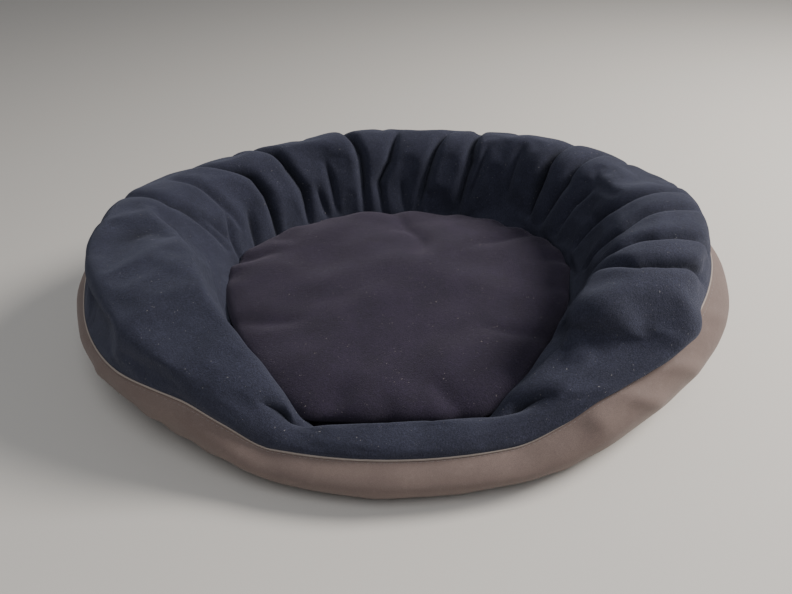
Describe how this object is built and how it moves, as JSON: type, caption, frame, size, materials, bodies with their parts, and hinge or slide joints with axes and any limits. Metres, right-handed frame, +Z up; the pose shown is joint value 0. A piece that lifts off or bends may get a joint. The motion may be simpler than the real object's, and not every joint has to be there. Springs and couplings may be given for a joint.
{
  "type": "pet cushion bed",
  "caption": "Oval soft pet bed: padded fleece-lined wall with a low front entrance, smooth fabric outside, and a loose zipped cushion that lies inside",
  "frame": {"origin": "centre of the bed's footprint, on the surface it stands on", "axes": "+X runs along the bed's width to the right seen from the entrance, +Y runs to the high back wall so the entrance faces -Y, +Z is up"},
  "size_m": [0.7, 0.54, 0.16],
  "materials": {
    "outer_fabric": "smooth matt taupe microfibre cloth",
    "seam_piping": "thin pale sewn edge binding",
    "wall_fleece": "brushed navy fleece, gathered",
    "cushion_fleece": "brushed dark plum-navy fleece",
    "foam": "open-cell foam, cut faces",
    "fibre": "loose polyester fibre",
    "zip_textile": "woven zip tape and moulded coil",
    "zip_metal": "nickel-plated zinc"
  },
  "bodies": {
    "bed": {"bottom_panel": "outer_fabric", "base_pad_foam": "foam", "floor_liner": "wall_fleece", "outer_wall_cover": "outer_fabric", "rim_seam_piping": "seam_piping", "inner_wall_cover": "wall_fleece", "wall_foam": "foam", "sill_foam": "foam", "wall_filling": "fibre", "sill_filling": "fibre"},
    "cushion": {"cushion_top_cover": "cushion_fleece", "cushion_bottom_cover_front": "cushion_fleece", "cushion_bottom_cover_rear": "cushion_fleece", "cushion_filling": "fibre", "zip_tape_front": "zip_textile", "zip_tape_rear": "zip_textile", "zip_coil_front": "zip_textile", "zip_coil_rear": "zip_textile", "zip_end_stop_closed": "zip_metal", "zip_end_stop_open": "zip_metal"},
    "zip_slider": {"zip_slider": "zip_metal"},
    "zip_pull": {"zip_pull": "zip_metal"}
  },
  "joints": [
    {"name": "cushion_lift", "type": "slide", "parent": "bed", "child": "cushion", "axis": [0, 0, 1], "range_m": [0, 0.25]},
    {"name": "zip_travel", "type": "slide", "parent": "cushion", "child": "zip_slider", "axis": [1, 0, 0], "range_m": [0, 0.236]},
    {"name": "zip_pull_swing", "type": "hinge", "parent": "zip_slider", "child": "zip_pull", "pos_m": [-0.118, -0.03, 0.0298], "axis": [0, 1, 0], "range_deg": [-90, 90]}
  ]
}
